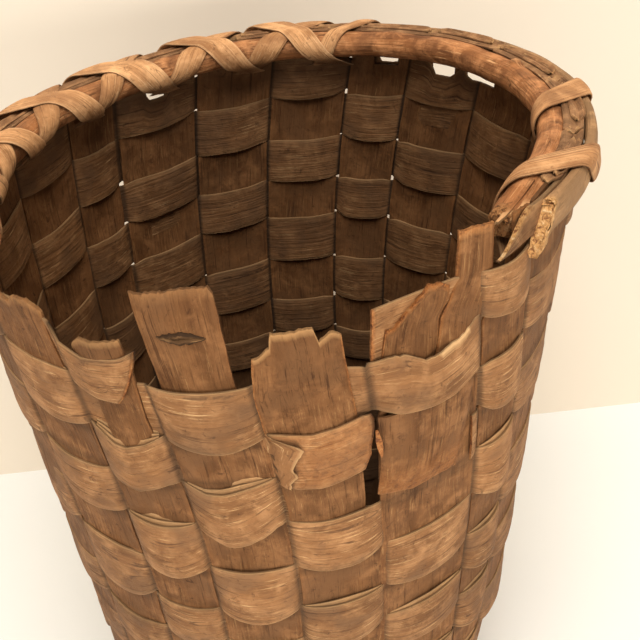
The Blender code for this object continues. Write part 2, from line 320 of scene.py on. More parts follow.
def grainGroup():
    group = bpy.data.node_groups.new("splintGrain", "ShaderNodeTree")
    group.interface.new_socket("UV", in_out="INPUT", socket_type="NodeSocketVector")
    for label in lineKinds:
        group.interface.new_socket(label, in_out="OUTPUT", socket_type="NodeSocketFloat")
    uv = group.nodes.new("NodeGroupInput").outputs["UV"]
    out = group.nodes.new("NodeGroupOutput")
    bend = noiseNode(group, stretched(group, uv, *lineBend["scale"]), 1.0, lineBend["detail"])
    sideways = mathNode(group, "MULTIPLY", bend, lineBend["reach"])
    shifted = node(group, "ShaderNodeCombineXYZ", {"Y": sideways}).outputs[0]
    lines = node(group, "ShaderNodeVectorMath", {0: uv, 1: shifted}, operation="ADD").outputs[0]
    for label, (lengthwise, crosswise, detail, roughness) in lineKinds.items():
        value = noiseNode(group, stretched(group, lines, lengthwise, crosswise), 1.0, detail, roughness)
        if label == "Split":  # thin lines where the noise crosses its middle
            away = mathNode(group, "ABSOLUTE", mathNode(group, "SUBTRACT", value, 0.5))
            value = ramp(group, away, *splitWidth)
        group.links.new(value, out.inputs[label])
    return group


grain = grainGroup()

# Detail, roughness and distortion of the noises that put patches on the wood, and
# where each layer of colour begins and ends on its noise
blots = {
    "patch": (3.0, 0.55, 0.3), "blotch": (4.0, 0.65, 0.3), "stain": (4.0, 0.7, 0.6),
    "crumb": (4.0, 0.7, 0.5),
}
spans = {
    "band": (0.36, 0.62), "pale": (0.44, 0.68), "weather": (0.50, 0.64), "clear": (0.56, 0.42),
    "glint": (0.44, 0.34), "fibre": (0.56, 0.66), "streak": (0.58, 0.66), "stain": (0.60, 0.72),
    "split": (0.46, 0.54), "pit": (0.38, 0.50), "rawPale": (0.54, 0.66),
}
relief = {"fibre": 0.35, "blotch": 0.9, "crumb": 4.0, "distance": 0.001}


def splintMaterial(name, look):
    made = bpy.data.materials.new(name)
    made.use_nodes = True
    tree = made.node_tree
    shader = tree.nodes["Principled BSDF"]
    lines = node(tree, "ShaderNodeGroup", node_tree=grain)
    tree.links.new(node(tree, "ShaderNodeUVMap", uv_map="UVMap").outputs[0], lines.inputs["UV"])
    fibre, streak, band, split = (lines.outputs[label] for label in lineKinds)
    spot = node(tree, "ShaderNodeTexCoord").outputs["Object"]
    tone, torn, grimeAndShade, markShare = (
        node(tree, "ShaderNodeAttribute", attribute_name=label).outputs["Fac"] for label in markNames
    )
    patch, blotch, stain, crumb = (
        noiseNode(tree, spot, look[label + "Scale"], *given) for label, given in blots.items()
    )

    def times(first, second):
        return mathNode(tree, "MULTIPLY", first, second)

    def mask(value, label):
        return ramp(tree, value, *spans[label])

    def part(value, label):
        return times(mask(value, label), look[label])

    colour = mixColour(tree, mask(band, "band"), look["dark"], look["mid"])
    for share, label in (
        (mask(blotch, "pale"), "pale"),
        (part(patch, "weather"), "grey"),
        (times(part(fibre, "glint"), mask(patch, "clear")), "bright"),
        (part(fibre, "fibre"), "line"),
        (part(streak, "streak"), "line"),
        (part(stain, "stain"), "line"),
        (times(part(blotch, "split"), split), "line"),
    ):
        colour = mixColour(tree, share, colour, look[label])
    # The tone greys and darkens the wood by the tint: at random from piece to piece, and on the faces inside the
    # basket as painted shade
    colour = mixColour(tree, tone, colour, mixColour(tree, 1.0, colour, look["tint"], "MULTIPLY"))
    # Pale mark towards the bright colour: rubbed and raw places, and along the floats' edges partly a painted
    # highlight where they catch light
    colour = mixColour(tree, times(markShare, look["wearAndHighlight"]), colour, look["bright"])
    raw = mixColour(tree, mask(crumb, "pit"), look["pit"], look["raw"])
    raw = mixColour(tree, mask(crumb, "rawPale"), raw, look["rawPale"])
    colour = mixColour(tree, times(torn, look["tear"]), colour, raw)
    # Darkening mark: real dark marks such as a knot's eye, and painted shade in creases, where weavers dive and
    # inside the basket
    colour = mixColour(tree, times(grimeAndShade, look["grimeAndShade"]), colour, look["dirtAndShade"])
    tree.links.new(colour, shader.inputs["Base Color"])
    rough = mathNode(tree, "MULTIPLY_ADD", streak, look["roughSpread"], look["rough"])
    tree.links.new(rough, shader.inputs["Roughness"])
    height = mathNode(tree, "ADD", times(fibre, relief["fibre"]), streak)
    height = mathNode(tree, "ADD", height, times(blotch, relief["blotch"]))
    height = mathNode(tree, "ADD", height, times(times(torn, crumb), relief["crumb"]))
    given = {"Height": height, "Strength": look["bump"], "Distance": relief["distance"]}
    tree.links.new(node(tree, "ShaderNodeBump", given).outputs[0], shader.inputs["Normal"])
    shader.inputs["Specular IOR Level"].default_value = look["shine"]
    return made


splintLook = {
    "dark": (0.21, 0.089, 0.030), "mid": (0.34, 0.152, 0.055), "pale": (0.47, 0.23, 0.093),
    "grey": (0.22, 0.108, 0.047), "line": (0.075, 0.030, 0.011), "bright": (0.78, 0.48, 0.22),
    "raw": (0.48, 0.17, 0.045), "rawPale": (0.62, 0.30, 0.11), "pit": (0.20, 0.062, 0.018),
    "dirtAndShade": (0.030, 0.015, 0.0065), "tint": (0.61, 0.605, 0.60),
    "patchScale": 38.0, "blotchScale": 95.0, "stainScale": 230.0, "crumbScale": 300.0,
    "weather": 0.75, "streak": 0.7, "fibre": 0.6, "glint": 0.9, "stain": 0.7, "split": 0.7,
    "wearAndHighlight": 0.8, "tear": 0.95, "grimeAndShade": 0.85, "rough": 0.55, "roughSpread": 0.3, "bump": 0.9, "shine": 0.2,
}
stakeWood = splintMaterial("stakeWood", {
    **splintLook,
    "dark": (0.142, 0.059, 0.021), "mid": (0.222, 0.096, 0.035), "pale": (0.32, 0.147, 0.058),
    "grey": (0.19, 0.089, 0.037), "line": (0.055, 0.021, 0.008), "bright": (0.52, 0.29, 0.12),
    "glint": 0.6, "split": 0.35, "tint": (0.85, 0.82, 0.77), "shine": 0.12,
})
weaverWood = splintMaterial("weaverWood", splintLook)
hoopWood = splintMaterial("hoopWood", {
    **splintLook,
    "dark": (0.16, 0.060, 0.022), "mid": (0.36, 0.140, 0.048), "pale": (0.58, 0.255, 0.10),
    "grey": (0.14, 0.055, 0.022), "bright": (0.75, 0.42, 0.19), "patchScale": 55.0, "weather": 0.6,
    "raw": (0.45, 0.20, 0.07), "rawPale": (0.62, 0.36, 0.16), "pit": (0.06, 0.022, 0.009),
    "crumbScale": 380.0, "rough": 0.42, "bump": 1.0, "shine": 0.1,
})
splitWood = splintMaterial("splitWood", {
    **splintLook,
    "dark": (0.15, 0.066, 0.026), "mid": (0.31, 0.145, 0.058), "pale": (0.50, 0.26, 0.115),
    "raw": (0.72, 0.36, 0.12), "rawPale": (0.98, 0.66, 0.34), "pit": (0.22, 0.07, 0.02), "crumbScale": 420.0,
})
lashWood = splintMaterial("lashWood", {
    **splintLook,
    "dark": (0.38, 0.175, 0.066), "mid": (0.69, 0.355, 0.15), "pale": (0.85, 0.47, 0.215),
    "grey": (0.36, 0.17, 0.07), "line": (0.14, 0.056, 0.020), "bright": (0.92, 0.60, 0.32), "grimeAndShade": 0.9,
    "tint": (0.72, 0.68, 0.64),
})
print("materials made")

# Weavers. A float is the stretch of a weaver that lies over one upright; bulge
# gives how far it stands out, and how much that varies, outside (1) and inside (-1).
weave = {
    "thickness": 0.0013, "bulge": {1: (0.0058, 0.0012), -1: (0.0017, 0.0004)}, "footBulge": 0.55,
    "sides": {4: 0.75, 5: 0.6, 6: 0.55, 7: 0.55, 8: 0.7, 14: 0.7, 15: 0.55, 16: 0.55, 17: 0.6},
    "rush": 0.6, "bow": 0.8, "tilt": (1.12, 0.42), "perColumn": 14, "fine": {1: 36, 2: 36}, "cuts": 10,
    "rise": 0.06, "topRise": 0.3, "drop": 0.12, "gap": 0.0004, "innerSag": 0.35, "droop": 0.0045,
    "droopPower": 1.5, "neck": 0.0045, "neckFrom": 0.35, "necked": (0.68, 0.9), "endRise": 0.0024,
    "endLift": 0.001, "waver": 0.0006, "rough": 0.0003, "jag": 0.0011, "edge": 0.7,
    "plyThickness": 0.0006, "plyRise": 0.0023, "plyGap": 0.0014, "plyShare": 0.6, "plyFoot": 0.45,
}
# The inner tones below are painted shade on the faces inside the basket, and the dive mark is painted shade where
# a weaver dives between two uprights
weaveMarks = {
    "tone": 0.45, "lowTone": 0.3, "innerShadeTone": 0.55, "formTone": 0.25, "innerFormShadeTone": 0.8,
    "shades": {(1, 12): 0.45}, "edge": 0.45, "edgeWide": 0.03, "crumble": 0.9, "dive": 0.75, "diveShadeWide": 0.1,
}
stakeShare = {"width": 0.955, "base": 0.9}

# Broken weavers: first and last column, and the slanting line of each end from
# its lower to its upper edge, as shares of half the pitch
breaks = {
    0: {
        "first": 13, "start": ((0.0, -0.31), (0.35, -0.62), (0.7, -0.87), (0.8, -0.97), (1.0, -1.07)),
        "last": 30, "end": ((0.0, 0.89), (1.0, 0.73)),
    },
    2: {
        "first": 11,
        "start": ((0.0, -0.68), (0.12, -0.74), (0.2, -0.87), (0.3, -0.82), (0.75, -1.02), (1.0, -0.97)),
        "last": 30, "end": ((0.0, 0.3), (1.0, 0.2)),
    },
    3: {"first": 11, "start": ((0.0, -0.5), (1.0, -0.45)), "last": 30, "end": ((0.0, -0.78), (1.0, -0.82))},
}
breakRag = {"reach": 0.03, "often": 9, "size": 0.9, "mark": 0.03}
# Float edges that depart from the rest: share of half the pitch and how far the
# edge lies above the row's line
floatForms = {
    (0, 13): {
        "top": ((-1.07, -0.0065), (-0.64, -0.0105), (0.3, -0.013), (1.0, -0.008)),
        "bottom": ((-0.31, -0.0075), (0.25, -0.0072), (1.0, -0.002)), "bulge": 0.6,
    },
    (1, 10): {
        "top": ((-0.88, 0.0035), (-0.74, 0.0002), (-0.54, -0.0035), (-0.36, -0.0038), (-0.16, -0.0058),
                (0.13, -0.0058), (0.15, -0.003), (0.5, 0.001), (1.0, 0.004)),
        "bottom": ((-0.81, 0.0005), (-0.4, -0.003), (0.04, -0.0038), (0.57, -0.0015), (0.94, 0.002)),
        "bulge": 1.0, "crumble": (-0.74, -0.2), "jagged": 0.6,
    },
    (2, 11): {
        "top": ((-0.97, 0.0032), (-0.79, 0.004), (-0.3, 0.0008), (0.17, -0.0002), (0.75, 0.003), (1.1, 0.004)),
        "bottom": ((-0.68, 0.0018), (-0.27, -0.001), (0.24, -0.003), (0.62, -0.0015), (0.91, 0.0),
                   (1.14, 0.003)),
        "bulge": 1.0, "red": 0.32, "rush": 0.3,
    },
    (2, 13): {
        "top": ((-1.0, 0.003), (-0.42, -0.003), (0.11, -0.0065), (0.45, -0.0055), (0.74, 0.0), (1.0, 0.004)),
        "bottom": ((-1.0, 0.002), (-0.72, 0.0015), (0.08, -0.0035), (0.76, -0.0015), (1.0, 0.003)),
        "bulge": 1.15, "plies": 3,
    },
    (3, 12): {
        "top": ((-1.0, 0.004), (-0.35, 0.0), (0.21, -0.0028), (0.53, -0.003), (1.0, 0.003)),
        "bottom": ((-0.83, 0.002), (-0.6, -0.0015), (-0.16, -0.006), (0.3, -0.008), (0.81, -0.002),
                   (1.0, 0.001)),
        "bulge": 1.1, "plies": 2,
    },
}
# Dips of the top weaver under the hoops: column, middle, half width, depth
rimDips = (
    (3, 0.23, 0.45, 0.005), (4, 0.02, 0.44, 0.0072), (4, 0.90, 0.32, 0.0065), (5, -0.80, 0.38, 0.0065),
    (0, 0.0, 0.3, 0.0070), (6, -0.93, 0.12, 0.004),
)
floatCuts = ((0.0, 0.0), (0.1, 0.022), (0.9, 0.978), (1.0, 1.0))  # more cuts near the edges


def floatAcross(step, count):  # closer together where the weaver dives
    return 0.5 * (2 * step / count - 1) - 0.5 * cos(pi * step / count)


def brokenAcross(row, column, across, t):
    # a broken weaver stops at its torn line, which is marked as raw wood
    broken = breaks.get(row)
    if broken and column == broken["first"]:
        nominal = broken["start"][-1][1]
        rag = breakRag["reach"] * wobble((t * breakRag["often"], row, 0), breakRag["size"])
        torn = along(broken["start"], t) + rag
        share = (across - nominal) / (1 - nominal)
        return mix(torn, 1, share), smooth(share, breakRag["mark"], 0.0)
    if broken and column == broken["last"]:
        share = (across + 1) / (broken["end"][0][1] + 1)
        return mix(-1, along(broken["end"], t), share), smooth(share, 1 - breakRag["mark"], 1.0)
    return across, 0.0


def floatEdges(row, column, across, bow, ply):
    # heights of a weaver's lower and upper edge
    home = column % stakeCount
    side = weaveSide(row, column)
    form = floatForms.get((row, home))
    topmost, lowest = row == 0, row == rowCount - 1
    sag = wall["rowPitch"] * wall["rows"][row] * bow * (1 if side > 0 else weave["innerSag"])
    high = rowTops[row] - weave["gap"] + weave["rise"] * sag * (weave["topRise"] if topmost else 1)
    low = rowTops[row + 1] + weave["gap"] - weave["drop"] * sag * (0 if lowest else 1)
    high += (0 if topmost else weave["endRise"]) * (1 - bow)
    low += (0 if lowest else weave["endLift"]) * (1 - bow)
    if form:
        high = rowTops[row] + along(form["top"], across) + max(ply, 0) * weave["plyRise"] * bow
        if across < form.get("jagged", -2):
            high += weave["jag"] * wobble((across * 9, row, 0), 0.5, 15)
        low = rowTops[row + 1] + along(form["bottom"], across)
    elif side > 0:
        droop = weave["droop"] * dice("droop", row, home) ** weave["droopPower"]
        high += (ply * weave["plyRise"] - droop) * bow
    if topmost:
        for column, middle, half, depth in rimDips:
            if column == home:
                high -= depth * smooth(abs(across - middle) / half, 1.0, 0.55)
    return low, high


def neckHeight(row, column, across):
    # some weavers are drawn together where they dive between two uprights
    dive = 1 - abs(across)
    if dive >= weave["neckFrom"]:
        return 0.0
    edge = (column + (1 if across > 0 else 0)) % stakeCount
    share = smooth(dice("neck", row, edge), *weave["necked"])
    return weave["neck"] * share * (1 - max(dive, 0) / weave["neckFrom"])


def weaverShape(row, ply=0):
    # ply 0 is the weaver itself, higher ones are thin layers behind its upper edge
    # and negative ones lie in front of it
    ring = weave["plyThickness"] if ply else weave["thickness"]

    def shape(place, t, outer):
        column, across = place
        home = column % stakeCount
        form = floatForms.get((row, home), {})
        ends = 0.0
        if not ply:
            t = along(floatCuts, t)
            across, ends = brokenAcross(row, column, across, t)
        elif ply > 0:
            t = mix(weave["plyFoot"], 1, t)
        side = weaveSide(row, column)
        dive = max(1 - abs(across), 0.0)
        lift = sin(pi / 2 * dive) ** form.get("rush", weave["rush"]) if dive else 0.0
        bow = cos(pi / 2 * across) ** weave["bow"] if dive else 0.0
        bulge, spread = weave["bulge"][side]
        bulge += spread * (2 * dice(row, home) - 1)
        upright = smooth(rowTops[row], wall["baseRise"], wall["baseRise"] + wall["squareHeight"])
        bulge *= mix(weave["footBulge"], 1, upright)
        bulge *= (weave["sides"].get(home, 1.0) if side > 0 else 1.0) * form.get("bulge", 1.0)
        low, high = floatEdges(row, column, across, bow, ply)
        neck = neckHeight(row, column, across) * 0.5
        turn = 2 * pi * (home + (across + 1) / 2) / stakeCount
        key = ray(turn, row * 0.7)
        high += weave["waver"] * wobble(key, 0.11, 1) - neck
        low += weave["waver"] * wobble(key, 0.09, 2) + neck
        z = mix(low, high, t)
        tilt = weave["tilt"][0] - weave["tilt"][1] * t * t if side > 0 else 1.0
        offset = side * lift * (bulge * tilt - ply * weave["plyGap"])
        offset += weave["rough"] * wobble(key + Vector((0, 0, t * 0.4)), 0.07, 3)
        offset += faceSide(outer) * ring * thinned(t, weave["edge"])
        spot = wallPoint(column, across, z, offset)
        return spot, floatMarks(row, column, (across, t, ply), spot, outer, ends)

    return shape


def floatMarks(row, column, place, spot, outer, ends):
    home = column % stakeCount
    across, t, ply = place
    given = weaveMarks
    form = floatForms.get((row, home))
    # Pale along both edges of each float: partly rubbed edges, partly a painted highlight where the edges catch
    # light
    pale = given["edge"] * nearEdge(t, given["edgeWide"])
    if form:
        # painted shade: the inner faces are darker
        tone = given["formTone"] if outer else given["innerFormShadeTone"]
        red = form.get("red", 0) * smooth(across, 0.95, 0.6) * (1 - 0.5 * dice(row, round(t * 8)))
        ends = max(ends, red)
        if "crumble" in form and form["crumble"][0] < across < form["crumble"][1]:
            pale = max(pale, given["crumble"] * smooth(t, 0.86, 0.96))
    else:
        tone = given["tone"] * dice("tone", row, home) + given["shades"].get((row, home), 0.0)
        # darker towards the bottom on the outside; on the inner faces, painted shade
        tone += given["lowTone"] * smooth(spot.z, 0.28, 0.2) if outer else given["innerShadeTone"]
    # Painted shade where the weaver dives between uprights, darkest at each float's ends, and more painted shade
    # inside the basket
    grimeAndShade = given["dive"] * smooth(max(1 - abs(across), 0.0), given["diveShadeWide"], 0.0)
    grimeAndShade += 0 if outer else deepDark(spot)
    if outer and not ply and (row, column) == (tornLayer["row"], tornLayer["column"]):
        past = along(tornLayer["edge"], t) - across
        grimeAndShade = max(grimeAndShade, tornLayer["shade"] * smooth(past, *tornLayer["shadeFrom"]))
    return tone, ends, grimeAndShade, pale


def weaverPlaces(row):
    count = weave["fine"].get(row, weave["perColumn"])
    stops = [floatAcross(step, count) for step in range(count + 1)]
    broken = breaks.get(row)
    if not broken:
        return [(column, stop) for column in range(stakeCount) for stop in stops[:-1]]
    first, last = broken["first"], broken["last"]
    start, end = broken["start"][-1][1], broken["end"][0][1]
    places = [(first, mix(start, 1, (1 + stop) / 2)) for stop in stops[:-1]]
    places += [(column, stop) for column in range(first + 1, last) for stop in stops[:-1]]
    return places + [(last, mix(-1, end, (1 + stop) / 2)) for stop in stops]


def plyCount(row, column):
    form = floatForms.get((row, column))
    if form:
        return form.get("plies", 0)
    if weaveSide(row, column) < 0 or row == 0 or dice("ply", row, column) > weave["plyShare"]:
        return 0
    return 1 + round(dice("plies", row, column))


def addPlies(body, row, column):
    # splint that has come apart in layers shows them behind its upper edge
    span = 0.93 - 0.1 * dice("span", row, column)
    places = [(column, mix(-span, span, step)) for step in steps(16)]
    for ply in range(1, 1 + plyCount(row, column)):
        addStrip(body, places, 4, weaverShape(row, ply), (0.045, 0.018, row + column * 0.37 + ply))


tornLayer = {
    "row": 2, "column": 11, "end": 1.14, "lift": 2.0, "settle": 0.6, "rag": 0.02, "shade": 0.75,
    "shadeFrom": (0.09, 0.01), "pale": 0.6,
    "edge": ((0.0, 0.80), (0.15, 0.78), (0.33, 0.60), (0.42, 0.70), (0.62, 0.56), (0.80, 0.40), (0.86, 0.50),
             (0.95, 0.90), (1.0, 1.02)),
}


def addTornLayer(body):
    # thin torn layer lying on a float
    def shape(place, t, outer):
        edge = along(tornLayer["edge"], place) + tornLayer["rag"] * wobble((place * 12, 0, 0), 0.8)
        across = mix(edge, tornLayer["end"], t)
        ply = -tornLayer["lift"] * (1 - tornLayer["settle"] * t)
        under = weaverShape(tornLayer["row"], ply)
        spot, _ = under((tornLayer["column"], across), min(max(place, 0.03), 0.97), outer)
        return spot, (0.5, 0.0, 0.0, tornLayer["pale"] * smooth(t, 0.1, 0.0))

    addStrip(body, steps(20), 8, shape, (0.03, 0.008, 3.3))


chip = {
    "row": 2, "column": 11, "across": -1.0, "slant": 0.03, "wide": 0.06, "top": 0.3385, "bottom": 0.3225,
    "offset": 0.0052, "thickness": 0.0008, "raw": 0.85,
}


def addChip(body):
    # torn fibre standing on the float's broken end
    def shape(place, t, outer):
        width = chip["wide"] * sin(pi * (0.12 + 0.8 * place)) * (1 + 0.3 * wobble((place * 7, 0, 0), 0.8))
        z = mix(chip["top"], chip["bottom"], place)
        across = chip["across"] - chip["slant"] * place + width * (2 * t - 1)
        offset = chip["offset"] + chip["thickness"] * faceSide(outer)
        return wallPoint(chip["column"], across, z, offset), (0.0, chip["raw"], 0.0, 0.0)

    addStrip(body, steps(14), 4, shape, (0.016, 0.003, 9.1))


def makeWeavers():
    for row in range(rowCount):
        body = newBody()
        uvSize = (0.9, 0.034, row * 1.3)
        addStrip(body, weaverPlaces(row), weave["cuts"], weaverShape(row), uvSize, closed=row not in breaks)
        for column in range(stakeCount):
            addPlies(body, row, column)
        if row == tornLayer["row"]:
            addTornLayer(body)
            addChip(body)
        finishPiece(f"weaver_{row + 1:02d}", body, weaverWood)


# Long splints
# The inner tone is painted shade on the faces inside the basket
stake = {
    "thickness": 0.0016, "cuts": 20, "step": 0.0042, "cup": 0.0018, "cupSwing": 0.0014, "swing": 0.0004,
    "cupRise": 0.03, "held": (0.004, 0.02), "waver": 0.02, "rise": 0.005, "edge": 0.6, "bendRadius": 0.008,
    "low": 0.0008, "high": 0.0027, "bendSteps": 6, "footSteps": 40, "crossing": (0.42, 0.58),
    "tone": 0.5, "innerShadeTone": 0.9, "topTone": 0.8, "footDarken": 0.15,
}
stakeTop = rimHeight + stake["rise"]
# Free tops at the front. The edges run upwards as (height, share of half the
# pitch) and each top runs from its right end to its left one as (share, height).
freeTops = {
    9: {
        "right": ((0.345, -0.955), (0.400, -0.955)),
        "left": ((0.345, 0.955), (0.3705, 0.93), (0.376, -0.1), (0.390, -0.2), (0.400, -0.3)),
        "top": ((0.0, 0.4098), (1.0, 0.4098)), "lean": 0.0, "torn": 0.4, "pale": 0.2, "bound": True,
    },
    10: {
        "right": ((0.342, -0.955), (0.352, -0.12), (0.368, -0.22), (0.380, -0.28), (0.386, -0.45), (0.394, -0.54)),
        "left": ((0.270, 1.08), (0.312, 1.0), (0.342, 0.94), (0.346, 0.70), (0.370, 0.72), (0.383, 0.59)),
        "top": ((0.0, 0.3939), (0.035, 0.3927), (0.14, 0.3957), (0.33, 0.397), (0.86, 0.3833), (1.0, 0.3829)),
        "lean": 0.003, "torn": 1.0, "pale": 0.3,
    },
    11: {
        "right": ((0.272, -0.93), (0.287, -0.62), (0.305, -0.66), (0.344, -0.71), (0.376, -0.70), (0.387, -0.72)),
        "left": ((0.300, 0.955), (0.346, 1.03), (0.366, 1.01), (0.3765, 0.94), (0.383, 0.86)),
        "top": ((0.0, 0.3874), (0.10, 0.3901), (0.255, 0.3874), (0.27, 0.3935), (0.74, 0.394), (0.765, 0.3885),
                (0.94, 0.3837), (1.0, 0.383)),
        "lean": 0.004, "torn": 0.12, "edge": 0.8, "pale": 1.0,
    },
    12: {
        "right": ((0.343, -0.955), (0.356, -0.72), (0.3734, -0.71), (0.3876, -0.75), (0.400, -0.71),
                  (0.4085, -0.62)),
        "left": ((0.343, 0.955), (0.356, 0.72), (0.3817, 0.72), (0.3916, 0.75), (0.4004, 0.86), (0.409, 0.94)),
        "top": ((0.0, 0.4085), (0.05, 0.4111), (0.34, 0.4111), (0.72, 0.4095), (1.0, 0.409)),
        "lean": 0.0096, "torn": 0.15, "pale": 0.25, "dim": 0.1,
    },
    13: {
        "right": ((0.316, -0.955), (0.330, -0.70), (0.352, -0.64), (0.379, -0.79), (0.386, -0.75)),
        "left": ((0.316, 0.955), (0.330, 0.62), (0.358, 0.5), (0.380, 0.62)),
        "top": ((0.0, 0.3925), (0.5, 0.391), (0.72, 0.3915), (0.9, 0.388), (1.0, 0.384)),
        "lean": 0.001, "torn": 0.15, "pale": 0.8, "grimeAndShade": 0.15,
    },
    14: {
        "right": ((0.345, -0.93), (0.400, -0.80)), "left": ((0.345, 0.93), (0.400, 0.86)),
        "top": ((0.0, 0.398), (0.2, 0.401), (0.45, 0.400), (0.55, 0.396), (1.0, 0.399)),
        "lean": 0.002, "torn": 0.3, "pale": 0.5,
    },
}
splinter = {
    "column": 10, "foot": 0.3445, "tone": 0.4,
    "right": ((0.345, -0.93), (0.371, -1.0), (0.391, -1.24), (0.411, -1.36)),
    "left": ((0.3445, -0.90), (0.352, -0.09), (0.359, -0.18), (0.368, -0.25), (0.380, -0.33), (0.386, -0.50),
             (0.394, -0.62), (0.396, -0.66), (0.4125, -0.78)),
    "top": ((0.0, 0.4113), (0.5, 0.4128), (1.0, 0.4125)), "lean": 0.0033, "torn": 0.7, "pale": 0.6,
}
# Gaps in the tops of uprights under the hoops: right end, left end, height
rimNotches = {
    0: ((-0.25, 0.25, 0.3872),), 3: ((-0.2, 0.66, 0.3895),), 4: ((-0.34, 0.37, 0.3872), (0.61, 1.0, 0.388)),
    5: ((-1.0, -0.46, 0.388),),
}
freeZone = {
    "foot": 0.345, "leanFrom": 0.365, "leanTo": 0.41, "jag": 0.0007, "rough": 0.0022, "sideRough": 0.035,
    "sideTorn": 0.7, "cuts": 36,
}


def stakeEdges(column, z, top=None):
    right, left = -stakeShare["width"], stakeShare["width"]
    top = top or freeTops.get(column)
    if top:
        right, left = along(top["right"], z), along(top["left"], z)
    share = footShare(z)
    base = stakeShare["base"]
    return mix(-base, right, share), mix(base, left, share)


def squashTop(z, low, height):  # brings the part above low down to end at a height
    return mix(low, height, (z - low) / (stakeTop - low))


def stakePoint(column, z, share, outer, top=None):
    # share runs from 0 at the right edge to 1 at the left
    top = top or freeTops.get(column)
    marks = [0.1 * nearEdge(share, 0.06), 0.0, 0.0]
    lean = 0.0
    leanFrom = freeZone["leanFrom"]
    if top and z > top.get("foot", freeZone["foot"]):
        key = (share * 9, column, 0)
        jag = freeZone["jag"] * (wobble(key, 0.35) + 0.6 * wobble(key, 0.12, 2))
        height = along(top["top"], share) + jag
        z = squashTop(z, top.get("foot", freeZone["foot"]), height)
        rough = smooth(height - z, freeZone["rough"], 0.0)
        sides = freeZone["sideTorn"] * top.get("edge", top["torn"]) * nearEdge(share, freeZone["sideRough"])
        marks = [max(marks[0], rough * top["torn"], sides), rough * top.get("grimeAndShade", 0), rough * top["pale"]]
        lean = top["lean"] * min(max((z - leanFrom) / (freeZone["leanTo"] - leanFrom), 0), 1.2) ** 2
    right, left = stakeEdges(column, z, top)
    across = mix(right, left, share)
    middle = 2 * share - 1
    for start, end, height in rimNotches.get(column, ()):
        if start <= across <= end and z > leanFrom:
            z = squashTop(z, leanFrom, height)
    across += stake["waver"] * wobble((column * 3.1, z * 20, 0), 0.25, 4 if middle < 0 else 5) * abs(middle)
    held = smooth(z, *(collar - drop for drop in stake["held"])) if not top or top.get("bound") else 1.0
    held *= smooth(z, wall["baseRise"], wall["baseRise"] + stake["cupRise"])
    wave = weaveWave(column, z)
    offset = (stake["cup"] + stake["cupSwing"] * wave) * (1 - middle * middle)
    offset = (offset - stake["swing"] * wave) * held
    thin = stake["edge"] if abs(middle) > 0.999 else 1.0
    offset += faceSide(outer) * stake["thickness"] * thin - lean
    return wallPoint(column, across, z, offset), marks


def splintPlaces(first, last, levels):
    def wallRun(column):
        tall = stakeTop - wall["baseRise"]
        count = round(tall / stake["step"])
        return [("wall", column, stakeTop - tall * share) for share in steps(count)[:-1]]

    def bendRun(level, end):
        return [("bend", level, end, share) for share in steps(stake["bendSteps"])]

    reach = wall["baseHalf"] - stake["bendRadius"]
    foot = [("foot", mix(-reach, reach, share), levels) for share in steps(stake["footSteps"])[1:-1]]
    down = wallRun(first) + bendRun(levels[0], -1)
    up = wallRun(last) + bendRun(levels[-1], 1)
    return down + foot + up[::-1]


def footLevel(run, levels):  # splints cross in two layers under the foot
    slot = run / wall["basePitch"] + wall["perSide"] / 2 - 0.5
    slot = min(max(slot, 0), wall["perSide"] - 1)
    lower = min(int(slot), wall["perSide"] - 2)
    share = smooth(slot - lower, *stake["crossing"])
    return mix(levels[lower], levels[lower + 1], share)


crease = {"above": 0.0035, "below": 0.0012, "wide": 0.0042, "share": 0.5}


def creaseDirt(column, z):  # painted shade on an upright along the edges of the floats over it
    if column in freeTops and z > freeZone["foot"]:
        return 0.0
    for row in range(rowCount):
        high, low = rowTops[row] - crease["above"], rowTops[row + 1] + crease["below"]
        if low < z < rowTops[row] and weaveSide(row, column) < 0:
            return crease["share"] * smooth(min(high - z, z - low), crease["wide"], 0.0)
    return 0.0


def splintShape(lane, first, forward, sideways, number):
    lateral = (lane - wall["perSide"] // 2) * wall["basePitch"]
    wide = wall["basePitch"] * stakeShare["base"] / 2
    bend = stake["bendRadius"]

    def shape(place, t, outer):
        kind = place[0]
        tone = stake["tone"] * dice("stake", number, place[1] if kind == "wall" else -1)
        # painted shade: the inner face is darker
        tone += 0 if outer else stake["innerShadeTone"]
        if kind == "wall":
            column, z = place[1], place[2]
            tone += stake["topTone"] * smooth(z, 0.33, 0.38)
            spot, marks = stakePoint(column, z, t if column == first else 1 - t, outer)
            # Painted shade: along the floats' edges on the outside, and inside the basket darker towards the foot
            marks[1] += creaseDirt(column, z) if outer else deepDark(spot)
            marks[1] += freeTops.get(column, {}).get("dim", 0) * smooth(z, 0.34, 0.38)
            return spot, (tone, *marks)
        if kind == "bend":
            _, level, end, share = place
            turned = pi / 2 * share
            run = end * (wall["baseHalf"] - bend + bend * cos(turned))
            z = level + bend * (1 - sin(turned))
            normal = forward * end * cos(turned) - Vector((0, 0, sin(turned)))
        else:
            run = place[1]
            z = footLevel(run, place[2])
            normal = Vector((0, 0, -1))
        spot = forward * run + sideways * (lateral + wide * (2 * t - 1)) + footCentre
        spot += normal * faceSide(outer) * stake["thickness"] + Vector((0, 0, z))
        # The foot and its bends are a little darker
        return spot, (tone, 0.0, stake["footDarken"], 0.0)

    return shape


scar = {
    "column": 12, "height": 0.3930, "right": -0.44, "left": 0.47, "tall": 0.0046, "least": 0.0003,
    "slant": 0.0008, "proud": 0.0009, "sunk": 0.0008,
}


